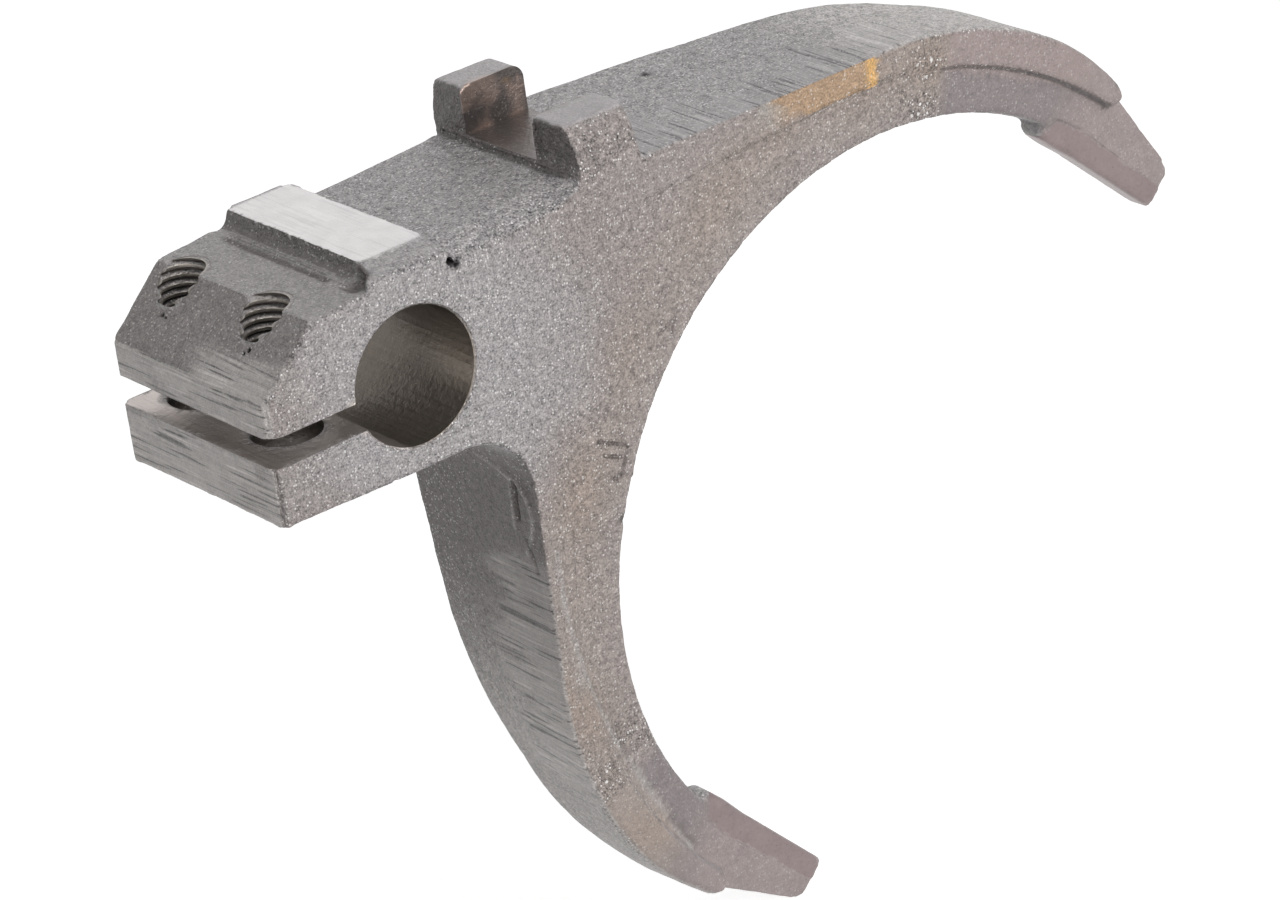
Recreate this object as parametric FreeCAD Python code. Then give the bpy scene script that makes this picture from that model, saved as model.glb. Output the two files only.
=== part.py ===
import FreeCAD, Part
import math
import os

# A cast shift fork: a split clamp hub on a rail, a selector notch on its back, and a C-shaped fork.
# Millimetres. The rail runs along Y, the front face is Y = 0 and the part goes back to larger Y.
# X runs along the clamping slit towards the fork, Z points to the side with the pad and the notch.

# Rail bore and hub
boreDiameter = 23.8
boreChamfer = 0.4
hubDepth = 43.3
hubWallRadius = 17.6
hubBottom = 16.4
jawReach = 29.3

# Clamping slit and jaws
slitTop = -0.1
slitWidth = 5.2
lowerJawBottom = 15.8
endStripTop = 5.8
slopeTopX = -18.1
slopeTopZ = 16.5
jawCornerBevel = 1.2

# Clamp screws: tapped in the upper jaw, clear in the lower one
threadMinorDiameter = 8.0
threadReliefDiameter = 9.53
threadReliefDepth = 5.2
clearanceDiameter = 12.2
screwX = -18.45
firstScrewY = 12.0
screwPitch = 23.3
clearanceShiftX = -0.45
clearanceShiftY = -0.8

# Machined pad on top of the hub, with a cove along its jaw side
padLeft = -3.7
padRight = 9.4
padTop = 20.0
coveLeft = -7.0
coveLeftZ = 17.4
coveTopZ = 18.5
padFlare = 3.1
frontBevelLength = 6.1
frontBevelDrop = 1.3

# Saddle between the pad and the notch
saddleStartZ = 19.1
saddleEndZ = 20.25
saddleBevelDrop = 1.1

# Fork, in its own frame: t along its line of symmetry away from the hub, s across it
forkCentreX = 101.5
forkCentreZ = -61.7
forkTurn = 44.7
innerRadius = 67.1
rimOuterRadius = 82.5
rimMiddleAngle = 55.0
rimShoulderAngle = 64.0
rimLateRadius = 82.0
rimLateAngle = 76.0
rimEndOuterRadius = 79.9
rimWallThickness = 6.6
rimEndT = 0.8
rimEndRound = 2.5
rimBandWidth = 7.2
rimProud = 2.2
tipFrontDepth = 2.5
rimProudFrom = -82.0
rootOuterZ = 20.3
rootOuterX = 19.6
rootFilletRadius = 12.0
rearRootFilletRadius = 17.0
rootRearDepth = 38.0
rearKneeT = -90.0
rearMiddleT = -50.0
rearMiddleDepth = 28.8
rearEndT = -12.0
webRearDepth = 11.8
pocketLeftX = 25.8
pocketCornerRadius = 8.0

# How far the rear outline lies inside the front one: at the root, middle, shoulder, late and end points
upperRearInset = (-0.2, 0.5, 0.8, 0.3, 0.0)
lowerRearInset = (0.4, 1.8, 1.9, -0.4, -1.2)

# Tips and their contact pads
tipEndT = 22.2
tipOuterEndS = 73.1
tipOuterStartS = 78.1
tipCornerRadius = 2.2
contactInnerS = 65.2
contactNoseRise = 1.2
contactNoseLength = 6.0
contactOuterS = 69.4
contactStartT = -12.0
contactFrontDepth = 2.55
contactRearDepth = 8.4
contactCornerRadius = 2.2
contactEndRadius = 0.9

# Selector notch
notchLeft = 37.4
notchRight = 50.6
notchFootLeft = 36.0
notchFootRight = 51.9
notchFootHeight = 2.2
notchFootRunOut = 6.0
notchFrontBulge = 1.3
notchRear = 39.5
notchRearLean = 0.8
notchRearBevel = 1.5
frontLugTop = 29.3
rearLugTop = 30.1
frontLugFaceY = 3.7
slotFront = 11.3
slotWidth = 19.05
slotFloor = 21.7
rearLugCornerRadius = 2.6


def point(x, y, z):
    return FreeCAD.Vector(x, y, z)


def fork_point(t, s, y):
    # The fork's own t and s turned into the part's X and Z.
    turn = math.radians(forkTurn)
    x = forkCentreX + t * math.cos(turn) + s * math.sin(turn)
    z = forkCentreZ - t * math.sin(turn) + s * math.cos(turn)
    return point(x, y, z)


def line(a, b):
    return Part.makeLine(a, b)


def arc(a, middle, b):
    return Part.Arc(a, middle, b).toShape()


def corner_arc(a, corner, b):
    # The arc that touches both sides of a corner; a and b are as far from the corner as each other.
    half_sine = (a - b).Length / (a - corner).Length / 2
    middle = corner + (a + b - corner * 2) / (2 + 2 * half_sine)
    return arc(a, middle, b)


def plate(edges, depth):
    # A closed outline drawn in a plane of constant Y, pushed back along Y.
    face = Part.Face(Part.Wire(Part.__sortEdges__(edges)))
    return face.extrude(point(0, depth, 0))


def polar(radius, degrees_from_root, side, y):
    # A point of the fork at an angle from its root; side is 1 for the upper arm and -1 for the lower.
    angle = math.radians(degrees_from_root)
    return fork_point(-radius * math.cos(angle), side * radius * math.sin(angle), y)


def rounded_along(shape, radius, axis, inside):
    # Rounds the straight edges that run along an axis and lie inside a box.
    picked = []
    for edge in shape.Edges:
        if len(edge.Vertexes) != 2:
            continue
        run = edge.Vertexes[1].Point - edge.Vertexes[0].Point
        if run.Length < 1e-6 or abs(run.dot(axis)) / run.Length < 0.995:
            continue
        if inside.isInside(edge.CenterOfMass):
            picked.append(edge)
    if not picked:
        return shape
    return shape.makeFillet(radius, picked)


def hub_block():
    inner_x = rootOuterX - rootFilletRadius
    wall_foot = point(padLeft - 0.6, 0, coveTopZ)
    cove_end = point(coveLeft, 0, coveLeftZ)
    cove_middle = point((wall_foot.x + cove_end.x) / 2 + 0.6, 0, coveLeftZ + 0.35)
    corners = [
        cove_end,
        point(slopeTopX, 0, slopeTopZ),
        point(-jawReach, 0, endStripTop),
        point(-jawReach, 0, -lowerJawBottom),
        point(-2.0, 0, -hubBottom),
        point(inner_x, 0, -hubBottom),
        point(inner_x, 0, 0),
        point(padRight, 0, 0),
        point(padRight, 0, padTop),
        point(padLeft, 0, padTop),
        wall_foot,
    ]
    edges = [line(a, b) for a, b in zip(corners, corners[1:])]
    edges.append(arc(wall_foot, cove_middle, cove_end))
    block = plate(edges, hubDepth)
    flare = [
        (padLeft - padFlare, 0),
        (padRight - 1.0, 0),
        (padRight - 1.0, frontBevelLength),
        (padLeft, frontBevelLength),
    ]
    foot = [point(x, y, coveLeftZ - 4.0) for x, y in flare]
    foot.append(foot[0])
    flare_height = point(0, 0, padTop + 4.0 - coveLeftZ)
    block = block.fuse(Part.Face(Part.makePolygon(foot)).extrude(flare_height))
    wall = Part.makeCylinder(hubWallRadius, hubDepth, point(0, 0, 0), point(0, 1, 0))
    trim = Part.makeBox(80, hubDepth, 80, point(-20, 0, -hubBottom))
    return block.fuse(wall.common(trim))


def rear_profile_cutter():
    # Everything behind the curved rear edge of the arms, as one block across both arms.
    start = fork_point(-160, -140, 0)
    along = fork_point(1, 0, 0) - fork_point(0, 0, 0)
    across = fork_point(0, 280, 0) - fork_point(0, 0, 0)

    def at(t, y):
        return start + along * (t + 160) + point(0, y, 0)

    knee = at(rearKneeT, rootRearDepth)
    end = at(rearEndT, webRearDepth)
    edges = [
        line(at(-160, rootRearDepth), knee),
        arc(knee, at(rearMiddleT, rearMiddleDepth), end),
        line(end, at(80, webRearDepth)),
        line(at(80, webRearDepth), at(80, 80)),
        line(at(80, 80), at(-160, 80)),
        line(at(-160, 80), at(-160, rootRearDepth)),
    ]
    face = Part.Face(Part.Wire(edges))
    return face.extrude(across)


def arm_side(side, y, inset, root_radius):
    # One arm's outline from the hub round its outer side and tip to the start of the inner circle.
    root, middle, shoulder, late, last = inset
    if side == 1:
        away = point(rootOuterX - rootFilletRadius, y, rootOuterZ - root)
        tangent = point(forkCentreX, y, rootOuterZ - root)
    else:
        away = point(rootOuterX + root, y, -hubBottom - root_radius)
        tangent = point(rootOuterX + root, y, forkCentreZ)
    shoulder_point = polar(rimOuterRadius - shoulder, rimShoulderAngle, side, y)
    late_point = polar(rimLateRadius - late, rimLateAngle, side, y)
    rim_end = fork_point(rimEndT - rimEndRound - 1.0, side * (rimEndOuterRadius - last), y)
    rim_bend = fork_point(rimEndT - 1.1, side * (rimEndOuterRadius - 0.7 - last / 2), y)
    rim_foot = fork_point(rimEndT, side * tipOuterStartS, y)
    corner = fork_point(tipEndT, side * tipOuterEndS, y)
    slant = (corner - rim_foot) * (tipCornerRadius / (corner - rim_foot).Length)
    end_start = fork_point(tipEndT, side * (tipOuterEndS - tipCornerRadius), y)
    end_stop = fork_point(tipEndT, side * (contactInnerS + 1.5), y)
    return [
        line(away, tangent),
        arc(tangent, polar(rimOuterRadius - middle, rimMiddleAngle, side, y), shoulder_point),
        arc(shoulder_point, late_point, rim_end),
        arc(rim_end, rim_bend, rim_foot),
        line(rim_foot, corner - slant),
        corner_arc(corner - slant, corner, end_start),
        line(end_start, end_stop),
        line(end_stop, polar(innerRadius, 97, side, y)),
    ]


def arm_outline(y, upper_inset, lower_inset, root_radius):
    # The whole fork seen from the front, drawn in by the insets given for each arm.
    upper = arm_side(1, y, upper_inset, root_radius)
    lower = arm_side(-1, y, lower_inset, root_radius)
    upper_end = polar(innerRadius, 97, 1, y)
    lower_end = polar(innerRadius, 97, -1, y)
    inner = arc(upper_end, polar(innerRadius, 0, 1, y), lower_end)
    lower_x = rootOuterX + lower_inset[0]
    hub_side = point(rootOuterX - rootFilletRadius, y, rootOuterZ - upper_inset[0])
    hub_foot = point(lower_x - root_radius, y, -hubBottom)
    arm_foot = point(lower_x, y, -hubBottom - root_radius)
    root = corner_arc(arm_foot, point(lower_x, y, -hubBottom), hub_foot)
    lower.reverse()
    return Part.Wire(upper + [inner] + lower + [root, line(hub_foot, hub_side)])


def pocket():
    # The hollow behind the web, between the two rim walls, open to the rear and to the inner circle.
    y = webRearDepth
    top_z = rootOuterZ - rimWallThickness
    r = pocketCornerRadius
    upper_tangent = point(forkCentreX, y, top_z)
    lower_tangent = point(pocketLeftX, y, forkCentreZ)
    root_right = point(pocketLeftX + r, y, top_z)
    root_low = point(pocketLeftX, y, top_z - r)
    wall = rimOuterRadius - rimWallThickness
    upper_end = polar(wall, 86, 1, y)
    lower_end = polar(wall, 86, -1, y)
    open_side = fork_point(40, 0, y)
    edges = [
        line(root_right, upper_tangent),
        arc(upper_tangent, polar(wall, 66, 1, y), upper_end),
        line(upper_end, open_side),
        line(open_side, lower_end),
        arc(lower_end, polar(wall, 66, -1, y), lower_tangent),
        line(lower_tangent, root_low),
        corner_arc(root_low, point(pocketLeftX, y, top_z), root_right),
    ]
    return plate(edges, hubDepth)


def front_recess():
    # The web's front face sinks behind the rim's front band: not at all near the hub, by rimProud at the
    # rim's ends and by tipFrontDepth at the ends of the tips.
    step = rimOuterRadius - rimBandWidth
    step_z = rootOuterZ - rimBandWidth + 1.2
    step_x = rootOuterX + rimBandWidth - 1.8
    y = -5
    beyond = rimEndOuterRadius + 20
    rounding = rimEndRound
    edges = [
        line(point(60, y, step_z - 0.8), point(86, y, step_z + 0.6)),
        arc(point(86, y, step_z + 0.6), polar(step + 0.4, 62, 1, y), fork_point(rimEndT - rounding, step, y)),
        line(point(60, y, step_z - 0.8), point(24.0, y, -20.0)),
        line(point(24.0, y, -20.0), point(step_x + 1.8, y, -33)),
        line(point(step_x + 1.8, y, -33), point(step_x, y, -52)),
        arc(point(step_x, y, -52), polar(step + 0.4, 62, -1, y), fork_point(rimEndT - rounding, -step, y)),
        line(fork_point(rimEndT, beyond, y), fork_point(60, beyond, y)),
        line(fork_point(60, beyond, y), fork_point(60, -beyond, y)),
        line(fork_point(60, -beyond, y), fork_point(rimEndT, -beyond, y)),
    ]
    for side in (1, -1):
        a = fork_point(rimEndT - rounding, side * step, y)
        b = fork_point(rimEndT, side * (step + rounding), y)
        edges.append(corner_arc(a, fork_point(rimEndT, side * step, y), b))
        edges.append(line(b, fork_point(rimEndT, side * beyond, y)))
    region = plate(edges, 12)
    a = fork_point(rimProudFrom, -140, 0)
    b = fork_point(0, -140, rimProud)
    c = fork_point(tipEndT, -140, tipFrontDepth)
    d = fork_point(80, -140, tipFrontDepth)
    lift = point(0, -20, 0)
    wedge_face = Part.Face(Part.makePolygon([a, b, c, d, d + lift, a + lift, a]))
    wedge = wedge_face.extrude(fork_point(0, 280, 0) - fork_point(0, 0, 0))
    return region.common(wedge)


def contact_pad(side):
    # A block on the inner side of a tip: a slightly raised nose, then an inner face that runs to the end.
    y = contactFrontDepth
    r = contactCornerRadius
    k = contactEndRadius
    nose = side * (contactInnerS - contactNoseRise)
    inner = side * contactInnerS
    outer = side * (contactOuterS + 1.0)
    nose_end = contactStartT + contactNoseLength
    a = fork_point(contactStartT, outer, y)
    b = fork_point(contactStartT, nose + side * r, y)
    c = fork_point(contactStartT + r, nose, y)
    d = fork_point(nose_end, nose, y)
    e = fork_point(nose_end + 6.0, nose + side * contactNoseRise * 0.45, y)
    g = fork_point(tipEndT - k, inner, y)
    h = fork_point(tipEndT, inner + side * k, y)
    m = fork_point(tipEndT, outer, y)
    edges = [
        line(a, b),
        corner_arc(b, fork_point(contactStartT, nose, y), c),
        line(c, d),
        line(d, e),
        line(e, g),
        corner_arc(g, fork_point(tipEndT, inner, y), h),
        line(h, m),
        line(m, a),
    ]
    return plate(edges, contactRearDepth - contactFrontDepth)


def contact_relief(side, y, depth):
    # The space milled away in front of or behind a contact pad.
    inner = side * (contactInnerS - 3.0)
    outer = side * contactOuterS
    corners = [
        fork_point(contactStartT + 1.5, inner, y),
        fork_point(contactStartT + 1.9, outer - side * 1.0, y),
        fork_point(contactStartT + 9.0, outer, y),
        fork_point(tipEndT + 5.0, outer, y),
        fork_point(tipEndT + 5.0, inner, y),
    ]
    corners.append(corners[0])
    return Part.Face(Part.makePolygon(corners)).extrude(point(0, depth, 0))


def fork_body():
    flush = (0.0, 0.0, 0.0, 0.0, 0.0)
    front = arm_outline(0, flush, flush, rootFilletRadius)
    rear = arm_outline(rootRearDepth, upperRearInset, lowerRearInset, rearRootFilletRadius)
    body = Part.makeLoft([front, rear], True, True)
    body = body.cut(rear_profile_cutter())
    body = body.cut(pocket())
    body = body.cut(front_recess())
    for side in (1, -1):
        body = body.cut(contact_relief(side, -5.0, 5.0 + contactFrontDepth))
        body = body.cut(contact_relief(side, contactRearDepth, 10.0))
        body = body.fuse(contact_pad(side))
    return body


def slope_block(corners, push):
    loop = [point(*corner) for corner in corners]
    loop.append(loop[0])
    return Part.Face(Part.makePolygon(loop)).extrude(push)


def pad_bevel():
    # The flat top of the pad and the shallow slope along its front.
    x = padLeft - padFlare - 3.0
    fall = frontBevelDrop / frontBevelLength
    profile = [
        (x, -1.0, padTop - frontBevelDrop - fall),
        (x, frontBevelLength, padTop),
        (x, hubDepth + 1.0, padTop),
        (x, hubDepth + 1.0, padTop + 6.0),
        (x, -1.0, padTop + 6.0),
    ]
    return slope_block(profile, point(padRight - x, 0, 0))


def saddle_relief():
    # The saddle lies a little below the pad and climbs towards the notch, with a slope along its front.
    run = point(notchFootRight - padRight, 0, 0)
    steepness = (saddleEndZ - saddleStartZ) / (notchFootLeft - padRight)
    climb = point(0, 0, steepness * (notchFootRight - padRight))
    fall = saddleBevelDrop / frontBevelLength
    profile = [
        (padRight, -1.0, saddleStartZ - saddleBevelDrop - fall),
        (padRight, frontBevelLength, saddleStartZ),
        (padRight, hubDepth + 1.0, saddleStartZ),
        (padRight, hubDepth + 1.0, saddleStartZ + 9.0),
        (padRight, -1.0, saddleStartZ + 9.0),
    ]
    return slope_block(profile, run + climb)


def notch_foot(side, wall_x, foot_x):
    # The cove between one wall of the notch block and the arm, running out towards the front.
    foot_z = saddleEndZ
    rise_z = saddleEndZ + notchFootHeight
    low = foot_z - 3.0
    wall = point(wall_x, 0, rise_z)
    foot = point(foot_x, 0, foot_z)
    bend = point(wall_x + (foot_x - wall_x) * 0.3, 0, foot_z + notchFootHeight * 0.35)
    inner_x = wall_x - side * 1.0
    edges = [
        arc(wall, bend, foot),
        line(foot, point(foot_x, 0, low)),
        line(point(foot_x, 0, low), point(inner_x, 0, low)),
        line(point(inner_x, 0, low), point(inner_x, 0, rise_z)),
        line(point(inner_x, 0, rise_z), wall),
    ]
    cove = plate(edges, rootRearDepth)
    run_out = [
        (inner_x, -1.0, low),
        (wall_x, 0.6, low),
        (foot_x + side, notchFootRunOut + 1.0, low),
        (foot_x + side, rootRearDepth + 1.0, low),
        (inner_x, rootRearDepth + 1.0, low),
    ]
    return cove.common(slope_block(run_out, point(0, 0, 10.0)))


def notch_boss():
    # The block the slot is cut through, with a bulging front face, a bevelled back and coved feet.
    foot_z = saddleEndZ
    low = foot_z - 3.0
    tall = rearLugTop + 3.0
    x = notchFootLeft - 5.0
    across = point(30, 0, 0)
    boss = Part.makeBox(notchRight - notchLeft, notchRear, tall - low, point(notchLeft, 0, low))
    boss = boss.fuse(notch_foot(-1, notchLeft, notchFootLeft))
    boss = boss.fuse(notch_foot(1, notchRight, notchFootRight))
    front_foot = point(x, 0, foot_z)
    front_top = point(x, frontLugFaceY, frontLugTop)
    front_edges = [
        arc(front_foot, point(x, notchFrontBulge, foot_z + 5.2), front_top),
        line(front_top, point(x, frontLugFaceY + 1.0, tall)),
        line(point(x, frontLugFaceY + 1.0, tall), point(x, -5, tall)),
        line(point(x, -5, tall), point(x, -5, foot_z)),
        line(point(x, -5, foot_z), front_foot),
    ]
    front = Part.Face(Part.Wire(front_edges)).extrude(across)
    top_y = notchRear - notchRearLean
    back_corners = [
        (x, notchRear, foot_z + 2.0),
        (x, top_y, rearLugTop - notchRearBevel * 1.5),
        (x, top_y - notchRearBevel * 0.35, rearLugTop - notchRearBevel * 0.45),
        (x, top_y - notchRearBevel, rearLugTop),
        (x, top_y - notchRearBevel, tall + 1.0),
        (x, hubDepth + 5.0, tall + 1.0),
        (x, hubDepth + 5.0, foot_z + 2.0),
    ]
    back = slope_block(back_corners, across)
    slot = Part.makeBox(60, slotWidth, 30, point(x - 15, slotFront, slotFloor))
    front_top_cut = Part.makeBox(60, slotFront + 2.0, 30, point(x - 15, -1.0, frontLugTop))
    rear_top_cut = Part.makeBox(60, hubDepth, 30, point(x - 15, slotFront, rearLugTop))
    for cutter in (front, slot, front_top_cut, rear_top_cut):
        boss = boss.cut(cutter)
    low_corner = point(notchRight - 3, slotFront + slotWidth, rearLugTop - 1)
    high_corner = point(notchRight + 3, 60, rearLugTop + 1)
    corner = FreeCAD.BoundBox(low_corner, high_corner)
    boss = rounded_along(boss, rearLugCornerRadius, point(0, 1, 0), corner)
    return boss.cut(back)


def bore_cutter():
    bore = Part.makeCylinder(boreDiameter / 2, hubDepth + 2, point(0, -1, 0), point(0, 1, 0))
    wide = boreDiameter / 2 + boreChamfer
    front = Part.makeCone(wide + 1, boreDiameter / 2, boreChamfer + 1, point(0, -1, 0), point(0, 1, 0))
    rear_point = point(0, hubDepth + 1, 0)
    rear = Part.makeCone(wide + 1, boreDiameter / 2, boreChamfer + 1, rear_point, point(0, -1, 0))
    return bore.fuse(front).fuse(rear)


def slit_cutter():
    return Part.makeBox(60, hubDepth + 2, slitWidth, point(-60, -1, slitTop - slitWidth))


def screw_holes():
    holes = []
    for k in range(2):
        y = firstScrewY + k * screwPitch
        up = point(0, 0, 1)
        tapped = point(screwX, y, slitTop - 1)
        mouth = point(screwX, y, slopeTopZ - threadReliefDepth)
        clear = point(screwX + clearanceShiftX, y + clearanceShiftY, slitTop - 41)
        holes.append(Part.makeCylinder(threadMinorDiameter / 2, 40, tapped, up))
        holes.append(Part.makeCylinder(threadReliefDiameter / 2, 40, mouth, up))
        holes.append(Part.makeCylinder(clearanceDiameter / 2, 40, clear, up))
    return holes


def corner_bevel():
    # The small bevel on the front corner of both jaws.
    x = -jawReach
    corners = [
        point(x - 1, -1, -40),
        point(x + jawCornerBevel, -1, -40),
        point(x - 1, jawCornerBevel * 2.2, -40),
    ]
    corners.append(corners[0])
    return Part.Face(Part.makePolygon(corners)).extrude(point(0, 0, 80))


def shift_fork():
    body = hub_block().fuse(fork_body())
    body = body.cut(saddle_relief())
    body = body.cut(pad_bevel())
    body = body.fuse(notch_boss())
    body = body.cut(corner_bevel())
    body = body.cut(slit_cutter())
    body = body.cut(bore_cutter())
    for hole in screw_holes():
        body = body.cut(hole)
    return body.removeSplitter()


os.makedirs("parts", exist_ok=True)
fork = shift_fork()
if fork.ShapeType == "Compound" and len(fork.Solids) == 1:
    fork = fork.Solids[0]
fork.exportStep("parts/shift_fork.step")
print("shift_fork", fork.ShapeType, "solids", len(fork.Solids), "valid", fork.isValid())
print("volume cm3", round(fork.Volume / 1000, 2), "box", fork.BoundBox)
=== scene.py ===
import math
from types import SimpleNamespace

import bmesh
import bpy
import numpy as np
from mathutils import Matrix, Vector, kdtree, noise


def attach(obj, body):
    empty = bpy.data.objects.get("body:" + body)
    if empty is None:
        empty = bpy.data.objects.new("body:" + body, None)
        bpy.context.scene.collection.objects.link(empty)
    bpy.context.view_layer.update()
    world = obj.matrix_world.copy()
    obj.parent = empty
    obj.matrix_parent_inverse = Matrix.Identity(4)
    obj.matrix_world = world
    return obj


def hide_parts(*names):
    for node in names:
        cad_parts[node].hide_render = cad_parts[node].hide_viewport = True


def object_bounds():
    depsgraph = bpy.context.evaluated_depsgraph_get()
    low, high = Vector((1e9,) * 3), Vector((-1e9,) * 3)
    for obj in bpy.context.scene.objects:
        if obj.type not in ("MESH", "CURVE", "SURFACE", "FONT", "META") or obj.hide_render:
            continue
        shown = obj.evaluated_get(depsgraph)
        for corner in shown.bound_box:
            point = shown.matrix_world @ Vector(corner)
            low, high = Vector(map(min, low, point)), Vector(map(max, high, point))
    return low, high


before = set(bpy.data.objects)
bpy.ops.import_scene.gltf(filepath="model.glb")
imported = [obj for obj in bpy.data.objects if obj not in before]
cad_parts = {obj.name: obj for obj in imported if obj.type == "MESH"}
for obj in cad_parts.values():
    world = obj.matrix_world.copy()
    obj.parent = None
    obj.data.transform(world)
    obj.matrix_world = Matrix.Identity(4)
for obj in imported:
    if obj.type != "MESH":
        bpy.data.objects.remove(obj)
cadLow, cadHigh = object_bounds()

mm = 0.001
collection = bpy.context.scene.collection
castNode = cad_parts["shift_fork"]


# small helpers

def newObject(name, data):
    obj = bpy.data.objects.new(name, data)
    collection.objects.link(obj)
    return obj


def objectFromBmesh(name, bm):
    mesh = bpy.data.meshes.new(name)
    bm.to_mesh(mesh)
    bm.free()
    return newObject(name, mesh)


def bakeModifiers(obj):
    # turns what the modifiers show into the object's own mesh
    graph = bpy.context.evaluated_depsgraph_get()
    mesh = bpy.data.meshes.new_from_object(obj.evaluated_get(graph))
    obj.modifiers.clear()
    old = obj.data
    obj.data = mesh
    bpy.data.meshes.remove(old)


def carve(body, cutter, operation="DIFFERENCE"):
    step = body.modifiers.new(operation.title(), "BOOLEAN")
    step.operation = operation
    step.solver = "EXACT"
    step.object = cutter
    bakeModifiers(body)
    bpy.data.objects.remove(cutter)


def smoothStep(low, high, value):
    t = np.clip((value - low) / (high - low), 0.0, 1.0)
    return t * t * (3.0 - 2.0 * t)


# camera, lights and floor

cameraSettings = {
    "place": (-435.893, -657.021, 353.307),  # mm
    "right": (0.7670, -0.6297, -0.1234),
    "up": (0.3589, 0.2616, 0.8960),
    "lens": 151.466,
    "sensor": 36.0,
}

lampSettings = [
    # name, place (m), aim (m), size (m), power (W), colour
    ("keyLamp", (0.55, -1.45, 0.95), (0.06, 0.0, -0.03), 1.1, 8.0, (1.0, 0.99, 0.98)),
    ("frontLamp", (0.30, -1.60, 0.20), (0.06, 0.0, -0.03), 0.8, 9.2, (1.0, 0.985, 0.98)),
    ("topLamp", (-0.05, -0.60, 1.35), (0.06, 0.0, -0.03), 0.8, 4.2, (1.0, 0.99, 0.985)),
    ("edgeLamp", (0.90, 1.10, 0.70), (0.06, 0.0, -0.03), 1.0, 1.5, (1.0, 1.0, 1.0)),
]

worldSettings = {"light": 0.12, "tint": (1.0, 1.0, 1.0)}
floorSettings = {"size": 6.0, "colour": (0.84, 0.84, 0.84), "lift": 0.78}


def addCamera():
    data = bpy.data.cameras.new("photoCamera")
    data.sensor_width = cameraSettings["sensor"]
    data.sensor_fit = "HORIZONTAL"
    data.lens = cameraSettings["lens"]
    data.clip_start, data.clip_end = 0.05, 20.0
    camera = newObject("photoCamera", data)
    right = Vector(cameraSettings["right"]).normalized()
    up = Vector(cameraSettings["up"])
    up = (up - right * up.dot(right)).normalized()
    back = right.cross(up)
    turn = Matrix((right, up, back)).transposed().to_4x4()
    camera.matrix_world = Matrix.Translation(Vector(cameraSettings["place"]) * mm) @ turn
    bpy.context.scene.camera = camera


def addLamp(name, place, aim, size, power, colour):
    data = bpy.data.lights.new(name, "AREA")
    data.shape = "DISK"
    data.size = size
    data.energy = power
    data.color = colour
    lamp = newObject(name, data)
    lamp.location = place
    lamp.rotation_euler = (Vector(aim) - Vector(place)).to_track_quat("-Z", "Y").to_euler()


def addNode(tree, kind, settings=None, **inputs):
    # a node with its settings, and its inputs given as values or as other nodes' outputs
    node = tree.nodes.new(kind)
    for name, value in (settings or {}).items():
        setattr(node, name, value)
    for name, value in inputs.items():
        key = int(name[1:]) if name[0] == "i" and name[1:].isdigit() else name.replace("_", " ")
        socket = node.inputs[key]
        if isinstance(value, bpy.types.NodeSocket):
            tree.links.new(value, socket)
        else:
            socket.default_value = value
    return node


def calc(tree, operation, first, second=0.5, third=None, clamp=False):
    # one sum on numbers or on other nodes' outputs
    inputs = {"i0": first, "i1": second}
    if third is not None:
        inputs["i2"] = third
    return addNode(tree, "ShaderNodeMath", {"operation": operation, "use_clamp": clamp}, **inputs).outputs[0]


def seenRay(tree):
    # 1 for what the camera, a mirror or glass sees, 0 for the light that falls on other things
    rays = addNode(tree, "ShaderNodeLightPath")
    mirrored = calc(tree, "MAXIMUM", rays.outputs["Is Glossy Ray"], rays.outputs["Is Transmission Ray"])
    return calc(tree, "MAXIMUM", rays.outputs["Is Camera Ray"], mirrored)


def addWorld():
    world = bpy.data.worlds.new("studioWorld")
    world.use_nodes = True
    tree = world.node_tree
    tree.nodes.clear()
    light = addNode(
        tree, "ShaderNodeBackground", Color=(*worldSettings["tint"], 1), Strength=worldSettings["light"]
    )
    white = addNode(tree, "ShaderNodeBackground", Color=(1, 1, 1, 1))
    mix = addNode(tree, "ShaderNodeMixShader", i0=seenRay(tree), i1=light.outputs[0], i2=white.outputs[0])
    addNode(tree, "ShaderNodeOutputWorld", Surface=mix.outputs[0])
    bpy.context.scene.world = world


def addFloor():
    half = floorSettings["size"] / 2
    z = cadLow.z - 0.0002
    mesh = bpy.data.meshes.new("floor")
    corners = [(-half, -half, z), (half, -half, z), (half, half, z), (-half, half, z)]
    mesh.from_pydata(corners, [], [(0, 1, 2, 3)])
    floor = newObject("floor", mesh)
    material = bpy.data.materials.new("floorPaper")
    material.use_nodes = True
    tree = material.node_tree
    tree.nodes.clear()
    paper = addNode(tree, "ShaderNodeBsdfDiffuse", Color=(*floorSettings["colour"], 1))
    lift = calc(tree, "MULTIPLY", seenRay(tree), floorSettings["lift"])
    glow = addNode(tree, "ShaderNodeEmission", Strength=lift)
    both = addNode(tree, "ShaderNodeAddShader", i0=paper.outputs[0], i1=glow.outputs[0])
    addNode(tree, "ShaderNodeOutputMaterial", Surface=both.outputs[0])
    mesh.materials.append(material)


bpy.context.scene.view_settings.view_transform = "Standard"
addCamera()
for lampRow in lampSettings:
    addLamp(*lampRow)
addWorld()
addFloor()
print("camera, lights and floor ready")


# the casting's mesh

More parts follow.
